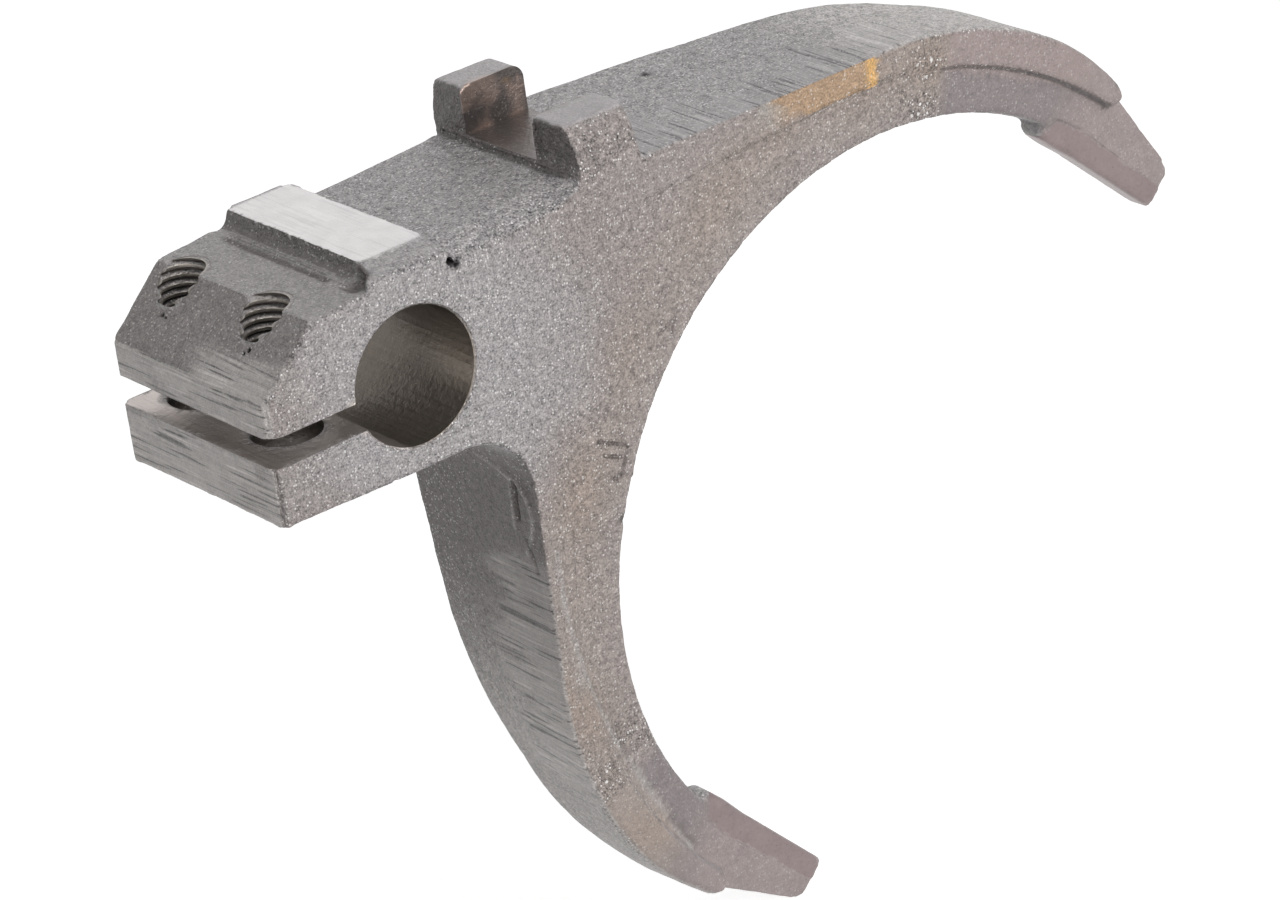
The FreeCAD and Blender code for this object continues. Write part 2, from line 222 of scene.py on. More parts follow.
castingSettings = {
    "edgeAngle": 28.0,  # degrees, sharper cast edges than this are rounded
    "edgeReach": 1.05,  # mm, how far from the edge the rounding starts
    "edgeSteps": 9,
    "cell": 2.2,  # mm, the longest mesh edge
    "edgeCell": 0.80,  # mm, the same beside a rounded edge
    "fineShare": 1.4,  # how much longer than asked the edges in the fine spots may be
    "mostFaces": 188000,  # the finished mesh is thinned to this many triangles
    "smoothAngle": 38.0,  # degrees
    "waves": ((11.0, 0.10), (4.0, 0.06), (1.7, 0.035)),  # mm, size and height of the unevenness
}

# upright corners of the jaws: the corner's x and y, radius, lowest and highest z, all mm
jawCorners = [
    ((-29.3, 43.3), 1.4, -30.0, 30.0),
    ((-29.3, 0.0), 1.1, -30.0, 30.0),
]


# places that need a finer mesh: low corner, high corner, cell, all mm
fineSpots = [
    ((17.0, -1.0, -46.0), (23.0, 17.0, -23.0), 0.42),  # laps on the lower arm
    ((-11.5, -1.0, 15.5), (-3.0, 44.0, 20.5), 0.6),  # cove under the pad's wall
    ((13.0, -0.5, -36.0), (34.0, 1.5, -6.0), 0.6),  # crease beside the bore
    ((-25.5, 5.0, 7.5), (-12.5, 42.0, 17.8), 0.5),  # mouths of the tapped holes
    ((74.0, -0.5, 12.0), (105.0, 1.2, 23.0), 0.38),  # gold patch
    ((8.5, -1.0, 14.0), (12.6, 2.6, 20.0), 0.25),  # pits
    ((71.5, 26.0, 18.0), (75.5, 29.5, 22.0), 0.35),
    ((-25.3, 9.6, 9.6), (-23.0, 12.3, 12.0), 0.2),
    ((-25.3, 32.4, 9.6), (-23.2, 35.4, 12.0), 0.2),
    ((33.0, -0.5, -34.3), (40.3, 0.6, -24.6), 0.22),  # figures
    ((48.6, -0.5, -12.8), (53.7, 0.6, -9.2), 0.22),
    ((-11.0, -0.5, 15.5), (-3.2, 11.0, 20.2), 0.4),  # front end of the cove
    ((34.5, 2.0, 19.0), (38.2, 39.5, 30.5), 0.42),  # left side of the notch
    ((-30.0, 40.4, -17.0), (-26.4, 44.0, 8.0), 0.45),  # corners of the jaws
    ((-30.0, -1.0, -17.0), (-27.6, 1.6, 8.0), 0.40),
]


def mergedCopy(node, name):
    bm = bmesh.new()
    bm.from_mesh(node.data)
    bmesh.ops.remove_doubles(bm, verts=bm.verts, dist=0.002 * mm)
    flat = math.radians(0.4)
    bmesh.ops.dissolve_limit(bm, angle_limit=flat, verts=bm.verts, edges=bm.edges)
    return objectFromBmesh(name, bm)


def holePlaces():
    # y of each tapped hole
    return [threadSettings["firstY"] + k * threadSettings["spacing"] for k in range(threadSettings["count"])]


def nearScrewHole(x, y):
    reach = threadSettings["majorDiameter"] / 2 + 0.4
    return any(math.hypot(x - threadSettings["x"], y - holeY) < reach for holeY in holePlaces())


def leftSharp(middle):
    # edges made by cutting stay sharp; middle in mm
    x, y, z = middle
    if x < -12.0 and z > -0.3 and nearScrewHole(x, y):
        return True
    if x < -3.5 and -5.6 < z < 0.3:
        return True  # clamping slit
    if -28.0 < x < -12.0 and -15.0 < z < -5.0 and math.hypot(x, z) > 12.5:
        return True  # clearance holes
    if math.hypot(x, z) < 12.6:
        return True  # rail bore
    if abs(z - 20.0) < 0.2 and -4.5 < x < 9.6 and y > 6.0:
        return True  # top of the pad
    return 36.0 < x < 52.0 and z > 21.4 and 11.0 < y < 30.6  # selector slot


def castEdgeTree(obj):
    # points along the edges left by the mould and along the front's soft steps, looked up by place in mm
    bm = bmesh.new()
    bm.from_mesh(obj.data)
    bm.normal_update()
    limit = math.radians(castingSettings["edgeAngle"])
    points = []
    for edge in bm.edges:
        if len(edge.link_faces) == 2 and edge.calc_face_angle() > limit:
            a, b = edge.verts[0].co / mm, edge.verts[1].co / mm
            if leftSharp((a + b) / 2):
                continue
            count = max(1, math.ceil((b - a).length / 0.3))
            points += [a.lerp(b, (k + 0.5) / count) for k in range(count)]
    bm.free()
    for line in (webCrease, rimLine, lowerRimLine):
        for (xa, za), (xb, zb) in zip(line, line[1:]):
            a, b = Vector((xa, 0.0, za)), Vector((xb, 0.0, zb))
            count = max(1, math.ceil((b - a).length / 0.3))
            points += [a.lerp(b, (k + 0.5) / count) for k in range(count)]
    tree = kdtree.KDTree(len(points))
    for k, place in enumerate(points):
        tree.insert(place, k)
    tree.balance()
    return tree


def readMesh(mesh):
    count = len(mesh.vertices)
    places = np.empty(count * 3)
    mesh.vertices.foreach_get("co", places)
    normals = np.empty(count * 3)
    mesh.vertex_normals.foreach_get("vector", normals)
    return places.reshape(-1, 3) / mm, normals.reshape(-1, 3)


def tooLong(middles, lengths, edgeTree):
    # which mesh edges are longer than wanted where they lie; middles and lengths in mm
    allowed = np.full(len(middles), castingSettings["cell"])
    for low, high, cell in fineSpots:
        inside = np.all((middles > low) & (middles < high), axis=1)
        allowed[inside] = np.minimum(allowed[inside], cell * castingSettings["fineShare"])
    found = lengths > allowed
    fine = castingSettings["edgeCell"]
    for k in np.flatnonzero(~found & (lengths > fine)):
        found[k] = edgeTree.find(middles[k])[2] < castingSettings["edgeReach"]
    return found


def splitLongest(places, faces, edgeTree):
    # one pass: each face with an edge that is too long is halved across its longest edge,
    # and so is any neighbour that this reaches, so that the mesh stays closed
    pairs = np.sort(np.concatenate([faces[:, [0, 1]], faces[:, [1, 2]], faces[:, [2, 0]]]), axis=1)
    edges, back = np.unique(pairs, axis=0, return_inverse=True)
    sides = back.reshape(3, -1).T
    first, second = places[edges[:, 0]], places[edges[:, 1]]
    middles = (first + second) / 2
    lengths = np.linalg.norm(first - second, axis=1)
    longest = lengths[sides].argmax(axis=1)
    everyFace = np.arange(len(faces))
    wanted = tooLong(middles, lengths, edgeTree)
    marked = np.zeros(len(edges), bool)
    marked[sides[everyFace, longest][wanted[sides].any(axis=1)]] = True
    if not marked.any():
        return places, faces, False
    while True:
        reached = sides[everyFace, longest][marked[sides].any(axis=1)]
        if marked[reached].all():
            break
        marked[reached] = True
    newPoint = np.full(len(edges), -1)
    newPoint[marked] = len(places) + np.arange(marked.sum())
    turned = (longest[:, None] + np.arange(3)) % 3
    a, b, c = np.take_along_axis(faces, turned, axis=1).T
    m, n, p = newPoint[np.take_along_axis(sides, turned, axis=1)].T
    kept = m < 0
    right, left = ~kept & (n < 0), ~kept & (p < 0)
    rightCut, leftCut = ~kept & (n >= 0), ~kept & (p >= 0)
    rows = [
        (kept, a, b, c), (left, a, m, c), (leftCut, a, m, p), (leftCut, p, m, c),
        (right, m, b, c), (rightCut, m, b, n), (rightCut, m, n, c),
    ]
    faces = np.concatenate([np.stack([u[which], v[which], w[which]], axis=1) for which, u, v, w in rows])
    return np.concatenate([places, middles[marked]]), faces, True


def refine(obj, edgeTree):
    # splits long edges until the mesh is fine enough for rounded edges and an uneven skin
    bm = bmesh.new()
    bm.from_mesh(obj.data)
    bmesh.ops.triangulate(bm, faces=bm.faces)
    places = np.array([vert.co for vert in bm.verts]) / mm
    faces = np.array([[vert.index for vert in face.verts] for face in bm.faces])
    bm.free()
    going = True
    while going:
        places, faces, going = splitLongest(places, faces, edgeTree)
    mesh = bpy.data.meshes.new("castingBody")
    mesh.from_pydata(places * mm, [], faces)
    mesh.update()
    obj.data = mesh


def thin(obj, keep):
    # takes away the triangles that matter least, down to the number allowed;
    # keep is True for the points that stay, the ones on cut faces
    count = len(obj.data.polygons)
    if count <= castingSettings["mostFaces"]:
        return
    group = obj.vertex_groups.new(name="skin")
    group.add([int(k) for k in np.flatnonzero(~keep)], 1.0, "REPLACE")
    step = obj.modifiers.new("Thin", "DECIMATE")
    step.ratio = castingSettings["mostFaces"] / count
    step.vertex_group = group.name
    bakeModifiers(obj)
    obj.vertex_groups.clear()
    clipToDrawn(obj)


def clipToDrawn(obj):
    # nothing may pass the drawn size
    places, _ = readMesh(obj.data)
    drawn, _ = readMesh(castNode.data)
    places = np.clip(places, drawn.min(axis=0), drawn.max(axis=0))
    obj.data.vertices.foreach_set("co", (places * mm).ravel())
    obj.data.update()


def shade(obj):
    # smooth shading that leaves the large flat faces flat
    obj.data.shade_smooth()
    obj.data.set_sharp_from_angle(angle=math.radians(castingSettings["smoothAngle"]))
    step = obj.modifiers.new("Normals", "WEIGHTED_NORMAL")
    step.keep_sharp = True
    bakeModifiers(obj)


def roundEdges(obj, edgeTree):
    # eases the mesh near the cast edges, most on the edge itself
    mesh = obj.data
    places, _ = readMesh(mesh)
    reach = castingSettings["edgeReach"]
    far = np.array([edgeTree.find(place)[2] for place in places])
    share = 1.0 - smoothStep(0.45 * reach, 1.25 * reach, far)
    pairs = np.empty(len(mesh.edges) * 2, int)
    mesh.edges.foreach_get("vertices", pairs)
    first, second = pairs.reshape(-1, 2).T
    count = len(places)
    degree = np.bincount(first, minlength=count) + np.bincount(second, minlength=count)
    for _ in range(castingSettings["edgeSteps"]):
        total = np.zeros_like(places)
        for axis in range(3):
            total[:, axis] = np.bincount(first, places[second, axis], count)
            total[:, axis] += np.bincount(second, places[first, axis], count)
        places += (total / degree[:, None] - places) * share[:, None] * 0.55
    for (cornerX, cornerY), radius, low, high in jawCorners:
        towardX = -1.0
        towardY = 1.0 if cornerY > 20.0 else -1.0
        u = (places[:, 0] - cornerX) * towardX + radius
        v = (places[:, 1] - cornerY) * towardY + radius
        inside = (u > 0) & (v > 0) & (places[:, 2] > low) & (places[:, 2] < high)
        squeeze = np.where(inside, np.maximum(u, v) / np.maximum(np.hypot(u, v), 1e-6), 1.0)
        places[:, 0] += (u * squeeze - u) * towardX
        places[:, 1] += (v * squeeze - v) * towardY
    mesh.vertices.foreach_set("co", (places * mm).ravel())
    mesh.update()


# tapped holes in the upper jaw

threadSettings = {
    "x": -18.45,  # mm
    "firstY": 12.0,
    "spacing": 23.3,
    "count": 2,
    "minorDiameter": 8.06,
    "majorDiameter": 9.55,
    "pitch": 1.5875,
    "turns": 13.0,
    "low": -3.0,  # where the first turn starts, inside the clamping slit
    "plugLow": 10.0,
    "plugHigh": 24.0,
    "ridge": (-18.1, 16.5),  # where the jaw's flat and its slope meet, x and z
    "flatEnd": (-7.0, 17.4),
    "slopeEnd": (-29.3, 5.8),
    "skin": 0.015,  # how far the plug stays under the jaw's surface
}


def cylinder(name, radius, low, high, x, y, sides=64):
    bm = bmesh.new()
    bmesh.ops.create_cone(
        bm, cap_ends=True, segments=sides, radius1=radius * mm, radius2=radius * mm, depth=(high - low) * mm
    )
    bmesh.ops.translate(bm, verts=bm.verts, vec=Vector((x, y, (low + high) / 2)) * mm)
    return objectFromBmesh(name, bm)


def jawPlug(y):
    # fills the plain mouth of a hole up to the jaw's surface, so that the thread can be cut in it
    row = threadSettings
    plug = cylinder("plug", row["majorDiameter"] / 2 + 0.15, row["plugLow"], row["plugHigh"], row["x"], y)
    bm = bmesh.new()
    bm.from_mesh(plug.data)
    ridge = Vector((row["ridge"][0], 0, row["ridge"][1])) * mm
    for end in (row["flatEnd"], row["slopeEnd"]):
        along = (Vector((end[0], 0, end[1])) * mm - ridge).normalized()
        up = Vector((-along.z, 0, along.x)) if along.x > 0 else Vector((along.z, 0, -along.x))
        everything = bm.verts[:] + bm.edges[:] + bm.faces[:]
        place = ridge - up * row["skin"] * mm
        cut = bmesh.ops.bisect_plane(bm, geom=everything, plane_co=place, plane_no=up, clear_outer=True)
        rim = [item for item in cut["geom_cut"] if isinstance(item, bmesh.types.BMEdge)]
        bmesh.ops.holes_fill(bm, edges=rim, sides=0)
    bmesh.ops.recalc_face_normals(bm, faces=bm.faces)
    bm.to_mesh(plug.data)
    bm.free()
    return plug


def threadTree(steel):
    # a coil with a V-shaped section, repeated for each hole
    tree = bpy.data.node_groups.new("threadCoils", "GeometryNodeTree")
    sizes = {
        "Pitch": threadSettings["pitch"] * mm,
        "Turns": threadSettings["turns"],
        "Root Radius": threadSettings["minorDiameter"] / 2 * mm,
        "Depth": (threadSettings["majorDiameter"] - threadSettings["minorDiameter"]) / 2 * mm,
        "Spacing": threadSettings["spacing"] * mm,
        "First X": threadSettings["x"] * mm,
        "First Y": threadSettings["firstY"] * mm,
        "Low": threadSettings["low"] * mm,
    }
    tree.interface.new_socket("Geometry", in_out="OUTPUT", socket_type="NodeSocketGeometry")
    for name in sizes:
        tree.interface.new_socket(name, in_out="INPUT", socket_type="NodeSocketFloat")
    given = addNode(tree, "NodeGroupInput").outputs
    height = calc(tree, "MULTIPLY", given["Pitch"], given["Turns"])
    spiral = addNode(tree, "GeometryNodeCurveSpiral", Resolution=56, Rotations=given["Turns"], Height=height)
    spiral.inputs["Reverse"].default_value = True
    for end in ("Start Radius", "End Radius"):
        tree.links.new(given["Root Radius"], spiral.inputs[end])
    upright = addNode(tree, "GeometryNodeSetCurveNormal", {"mode": "Z_UP"}, Curve=spiral.outputs[0])
    section = addNode(tree, "GeometryNodeCurvePrimitiveQuadrilateral", {"mode": "POINTS"})
    inward = calc(tree, "MULTIPLY", given["Depth"], -0.2)
    outward = given["Depth"]
    corners = ((inward, -0.47), (outward, -0.07), (outward, 0.07), (inward, 0.47))
    for k, (across, share) in enumerate(corners):
        along = calc(tree, "MULTIPLY", given["Pitch"], share)
        corner = addNode(tree, "ShaderNodeCombineXYZ", X=across, Y=along)
        tree.links.new(corner.outputs[0], section.inputs["Point %d" % (k + 1)])
    coil = addNode(
        tree, "GeometryNodeCurveToMesh", Curve=upright.outputs[0], Profile_Curve=section.outputs[0]
    )
    coil.inputs["Fill Caps"].default_value = True
    start = addNode(tree, "ShaderNodeCombineXYZ", X=given["First X"], Y=given["First Y"], Z=given["Low"])
    step = addNode(tree, "ShaderNodeCombineXYZ", Y=given["Spacing"])
    row = addNode(
        tree,
        "GeometryNodeMeshLine",
        {"mode": "OFFSET"},
        Count=threadSettings["count"],
        Start_Location=start.outputs[0],
        Offset=step.outputs[0],
    )
    placed = addNode(tree, "GeometryNodeInstanceOnPoints", Points=row.outputs[0], Instance=coil.outputs[0])
    real = addNode(tree, "GeometryNodeRealizeInstances", Geometry=placed.outputs[0])
    finished = addNode(tree, "GeometryNodeSetMaterial", Geometry=real.outputs[0], Material=steel)
    addNode(tree, "NodeGroupOutput", Geometry=finished.outputs[0])
    return tree, sizes


def threadCoils(steel):
    tree, sizes = threadTree(steel)
    coils = newObject("threadCoils", bpy.data.meshes.new("threadCoils"))
    nodes = coils.modifiers.new("Coils", "NODES")
    nodes.node_group = tree
    for item in tree.interface.items_tree:
        if item.in_out == "INPUT":
            nodes[item.identifier] = sizes[item.name]
    bakeModifiers(coils)
    bm = bmesh.new()
    bm.from_mesh(coils.data)
    bmesh.ops.recalc_face_normals(bm, faces=bm.faces)
    bm.to_mesh(coils.data)
    bm.free()
    return coils


def tapHoles(body, steel):
    row = threadSettings
    for y in holePlaces():
        carve(body, jawPlug(y), "UNION")
        carve(body, cylinder("drill", row["minorDiameter"] / 2, row["low"], row["plugHigh"], row["x"], y, 72))
    carve(body, threadCoils(steel))


# unevenness, laps, pits and grooves of the casting

# the fork's own frame: its centre in mm, and the turn of its line of symmetry in degrees
forkSettings = {"x": 101.5, "z": -61.7, "turn": 44.7}

# lines in mm on the lower arm's hub side, as (y, z) points with a height and a width
armLaps = [
    ([(14.5, -25.6), (8.9, -27.2), (6.9, -28.4), (7.1, -32.0), (7.3, -37.4)], 0.30, 0.42),
    ([(8.9, -26.8), (5.3, -28.3), (3.2, -30.8), (2.0, -34.0), (2.4, -37.2), (4.9, -41.6)], 0.34, 0.45),
    ([(6.2, -28.9), (6.2, -32.0), (6.1, -35.5)], -0.75, 0.50),
    ([(4.6, -39.0), (3.4, -42.0), (2.6, -45.0)], -0.25, 0.40),
]

# the soft step in the web's front face beside the bore, as (x, z) points
webCrease = [
    (16.2, -10.4), (17.3, -13.0), (20.6, -17.2), (23.1, -20.4), (25.4, -25.0), (26.7, -29.1), (27.0, -35.0),
]

# lower edge of the upper rim and inner edge of the lower rim, as (x, z) points on the front
rimLine = [
    (27.5, 12.0), (40.2, 12.5), (61.9, 13.8), (75.1, 14.4), (84.0, 14.9), (95.3, 14.9), (106.5, 14.3),
    (115.5, 12.6), (128.9, 7.4), (142.3, 0.7), (153.5, -6.3),
]
lowerRimLine = [
    (22.9, -31.5), (22.6, -42.5), (22.8, -53.9), (25.1, -66.3), (29.5, -79.8), (36.0, -94.4), (43.0, -107.6),
]

# place in mm, radius and depth in mm
pits = [
    ((10.3, 0.0, 16.4), 0.80, 2.2),
    ((11.0, 0.0, 15.5), 0.42, 1.2),
    ((9.6, 0.0, 16.9), 0.35, 0.7),
    ((13.3, 21.2, 19.3), 0.40, 0.30),
    ((12.0, 11.7, 19.2), 0.35, 0.35),
    ((73.8, 27.6, 20.0), 0.80, 0.50),
    ((72.9, 27.9, 20.0), 0.45, 0.30),
    ((36.9, 0.6, -40.9), 0.70, 0.35),
    ((-24.1, 34.4, 10.8), 0.28, 0.8),
    ((-24.2, 33.3, 10.7), 0.22, 0.6),
    ((-23.9, 10.6, 11.0), 0.30, 0.9),
    ((-24.4, 11.3, 10.5), 0.26, 0.8),
    ((33.9, 0.0, 3.3), 0.25, 0.35),
]

# plain figures sunk in the web, as (x, z) lines
figures = [
    [(33.8, -25.4), (38.8, -27.7), (39.6, -28.6), (39.0, -30.4), (38.2, -32.4), (37.2, -33.5), (35.8, -32.9)],
    [(34.6, -28.2), (38.0, -29.8)],
    [(49.3, -11.4), (53.0, -9.9), (51.9, -12.2)],
]

# heights in mm of what the mould left
reliefSettings = {
    "webDip": 0.38,  # behind the crease beside the bore
    "coveBead": 0.28,
    "coveGroove": 0.34,
    "covePocket": 0.75,
    "figureDepth": 0.26,
    "figureWidth": 0.26,
    "upperRimStep": 0.30,
    "lowerRimStep": 0.22,
    "notchRidge": 0.28,
    "lugHollow": 0.45,
    "saddleSlope": 1.7,  # how far the saddle's front edge falls
}

# faces cut after casting: boxes as a low and a high corner in mm, None where a box is open
cutSettings = {
    "boreRadius": 12.4,
    "slit": ((None, None, -5.4), (-3.0, None, 0.0)),
    "padTop": ((-4.4, 6.0, 19.85), (9.6, None, None)),
    "slot": ((37.2, 11.15, 21.55), (50.8, 30.5, None)),
    "slotWalls": (11.45, 30.2),  # y of the front wall and of the rear one
    "slotFloor": 21.85,
    "screwHoles": ((None, None, -16.0), (-12.0, None, 17.2)),
    "screwHoleRadius": 4.95,
    "clearance": (-18.9, -0.8, 6.25, -5.0),  # x, y past the thread's own, radius, top
    "pads": (-10.4, 69.3, 2.5, 8.45),  # least t, most s, least y, most y
}


def distanceToLine(u, v, points):
    # for each place (u, v): the distance to a line of points, and which side of it the place is on
    best = np.full(len(u), 1e9)
    side = np.zeros(len(u))
    for (ua, va), (ub, vb) in zip(points, points[1:]):
        du, dv = ub - ua, vb - va
        share = np.clip(((u - ua) * du + (v - va) * dv) / (du * du + dv * dv), 0.0, 1.0)
        far = np.hypot(u - ua - share * du, v - va - share * dv)
        closer = far < best
        best[closer] = far[closer]
        side[closer] = np.sign((u - ua) * dv - (v - va) * du)[closer]
    return best, side


def noiseAt(points, size, seed):
    shift = Vector((seed * 17.3, seed * 5.1, seed * 9.7))
    return np.array([noise.noise(Vector(p) / size + shift) for p in points])


def forkPlace(x, z):
    # the fork's own t, along its line of symmetry, and s, across it
    turn = math.radians(forkSettings["turn"])
    dx, dz = x - forkSettings["x"], z - forkSettings["z"]
    return dx * math.cos(turn) - dz * math.sin(turn), dx * math.sin(turn) + dz * math.cos(turn)


def lowerRimX(z):
    # x of the lower rim's inner edge at each height
    return np.interp(-z, [-row[1] for row in lowerRimLine], [row[0] for row in lowerRimLine])


def coveLines(x, y):
    # the groove and bead under the pad's wall, and the hollow at their front end
    inner = 1.0 - smoothStep(36.0, 41.0, y)
    groove = np.exp(-(((x + 7.8) / 0.45) ** 2)) * smoothStep(8.6, 10.4, y) * inner
    bead = np.exp(-(((x + 6.3) / 0.60) ** 2)) * smoothStep(9.0, 12.0, y) * inner
    pocket = np.exp(-(((x + 6.3) / 1.7) ** 4) - ((y - 3.9) / 1.9) ** 4)
    return groove, bead, pocket


def rimSteps(x, z):
    # the web lies a little below both rims where they run out towards the hub
    far, _ = distanceToLine(x, z, rimLine)
    below = z < np.interp(x, *zip(*rimLine))
    step = np.where(below, -1.0, 0.0) * smoothStep(0.0, 0.7, far) * (1.0 - smoothStep(2.0, 9.0, far))
    step += 0.25 * np.exp(-((far / 0.8) ** 2)) * ~below
    upper = step * smoothStep(26.0, 46.0, x) * (1.0 - smoothStep(92.0, 106.0, x))
    far, _ = distanceToLine(x, z, lowerRimLine)
    inner = x > lowerRimX(z)
    step = np.where(inner, -1.0, 0.0) * smoothStep(0.0, 0.7, far) * (1.0 - smoothStep(2.0, 8.0, far))
    step += 0.25 * np.exp(-((far / 0.8) ** 2)) * ~inner
    lower = step * smoothStep(-104.0, -92.0, z) * (1.0 - smoothStep(-44.0, -30.0, z))
    return reliefSettings["upperRimStep"] * upper + reliefSettings["lowerRimStep"] * lower


def inBox(places, low, high):
    found = np.ones(len(places), bool)
    for axis in range(3):
        if low[axis] is not None:
            found &= places[:, axis] > low[axis]
        if high[axis] is not None:
            found &= places[:, axis] < high[axis]
    return found


def inScrewHole(x, y, z):
    found = np.zeros(len(x), bool)
    clearX, clearY, clearRadius, clearTop = cutSettings["clearance"]
    for holeY in holePlaces():
        found |= np.hypot(x - threadSettings["x"], y - holeY) < cutSettings["screwHoleRadius"]
        found |= (np.hypot(x - clearX, y - holeY - clearY) < clearRadius) & (z < clearTop)
    return found


def machinedShare(places, normals):
    # 1 on faces cut after casting, 0 on the casting's skin
    row = cutSettings
    x, y, z = places.T
    t, s = forkPlace(x, z)
    bore = (np.hypot(x, z) < row["boreRadius"]) & (np.abs(normals[:, 1]) < 0.8)
    slit = inBox(places, *row["slit"]) & (np.abs(normals[:, 2]) > 0.8)
    padTop = inBox(places, *row["padTop"]) & (normals[:, 2] > 0.8)
    frontWall, rearWall = row["slotWalls"]
    slot = inBox(places, *row["slot"]) & ((y < frontWall) | (y > rearWall) | (z < row["slotFloor"]))
    holes = inBox(places, *row["screwHoles"]) & (np.abs(normals[:, 2]) < 0.72) & inScrewHole(x, y, z)
    leastT, mostS, leastY, mostY = row["pads"]
    pads = (t > leastT) & (np.abs(s) < mostS) & (y > leastY) & (y < mostY)
    return (bore | slit | padTop | slot | holes | pads).astype(float)


def pushArm(push, places, normals):
    # laps on the lower arm's hub side
    x, y, z = places.T
    onArm = (normals[:, 0] < -0.35) & (x < 26.0) & (z < -20.0)
    for points, height, width in armLaps:
        far, _ = distanceToLine(y, z, points)
        push += np.where(onArm, height * np.exp(-((far / width) ** 2)), 0.0)


def pushFront(push, places, onFront):
    # the dip behind the web's crease
    x, _, z = places.T
    far, side = distanceToLine(x, z, webCrease)
    beyond = np.where(side < 0, far, 0.0)
    dip = smoothStep(0.0, 1.0, beyond) * (1.0 - smoothStep(2.5, 11.0, beyond))
    dip *= smoothStep(-39.0, -30.0, z) * (1.0 - smoothStep(-13.5, -8.5, z))
    push -= np.where(onFront, reliefSettings["webDip"] * dip, 0.0)


def pushCove(push, places):
    # the lines along the foot of the pad's wall
    row = reliefSettings
    x, y, z = places.T
    onFlat = (z > 15.8) & (z < 20.2) & (x < -4.0) & (x > -12.0) & (y < 43.0)
    groove, bead, pocket = coveLines(x, y)
    height = row["coveBead"] * bead - row["coveGroove"] * groove - row["covePocket"] * pocket
    push += np.where(onFlat, height, 0.0)


def pushFigures(push, places, onFront):
    x, _, z = places.T
    for line in figures:
        far, _ = distanceToLine(x, z, line)
        depth = reliefSettings["figureDepth"] * np.exp(-((far / reliefSettings["figureWidth"]) ** 2))
        push -= np.where(onFront, depth, 0.0)


def pushLugs(push, places, normals):
    # the hollow on the front lug's side, and the ridge at the notch's left foot
    x, y, z = places.T
    lugSide = (np.abs(x - 37.4) < 0.4) & (z > 20.5) & (normals[:, 0] < -0.6)
    hollow = smoothStep(21.0, 23.5, z) * (1 - smoothStep(27.0, 29.3, z))
    dent = noiseAt(places, 1.5, 8) * 0.16 - reliefSettings["lugHollow"] * hollow * (y < 11.2)
    push += np.where(lugSide, dent, 0.0)
    ridge = np.exp(-(((x - 35.6) / 0.40) ** 2)) - 1.3 * np.exp(-(((x - 36.7) / 0.45) ** 2))
    ridge *= smoothStep(3.5, 5.5, y) * (1 - smoothStep(36.5, 38.0, y))
    onFloor = (normals[:, 2] > 0.5) & (z > 19.2) & (z < 22.5) & (x < 38.0)
    push += np.where(onFloor, reliefSettings["notchRidge"] * ridge, 0.0)


def lowerSaddleEdge(places):
    x, y, z = places.T
    slope = np.clip((4.1 - y) / 4.1, 0.0, 1.0) * smoothStep(9.2, 11.5, x) * (1 - smoothStep(31.0, 37.0, x))
    places[:, 2] -= reliefSettings["saddleSlope"] * slope * smoothStep(10.0, 18.5, z)


def sinkPits(places, normals):
    # dents the places, and returns how much painted shade each one gets in a pit
    pitShadeShare = np.zeros(len(places))
    ragged = 1.0 + 0.5 * noiseAt(places, 0.8, 41)
    for place, radius, depth in pits:
        far = np.sqrt(((places - np.array(place)) ** 2).sum(1)) * ragged
        dent = np.exp(-((far / radius) ** 2))
        pitShadeShare = np.maximum(pitShadeShare, np.clip(dent * 2.4, 0, 1) * min(1.0, 0.4 + depth))
        places -= normals * (dent * depth)[:, None]
    return pitShadeShare


def shapeCasting(obj):
    places, normals = readMesh(obj.data)
    skin = 1.0 - machinedShare(places, normals)
    push = np.zeros(len(places))
    for k, (size, height) in enumerate(castingSettings["waves"]):
        push += noiseAt(places, size, k + 1) * height * skin
    pushArm(push, places, normals)
    onFront = (normals[:, 1] < -0.6) & (places[:, 1] < 2.0)
    pushFront(push, places, onFront)
    pushCove(push, places)
    pushFigures(push, places, onFront)
    push += rimSteps(places[:, 0], places[:, 2]) * onFront
    pushLugs(push, places, normals)
    places += normals * push[:, None]
    lowerSaddleEdge(places)
    pitShadeShare = sinkPits(places, normals)
    obj.data.vertices.foreach_set("co", (places * mm).ravel())
    obj.data.update()
    clipToDrawn(obj)
    return pitShadeShare
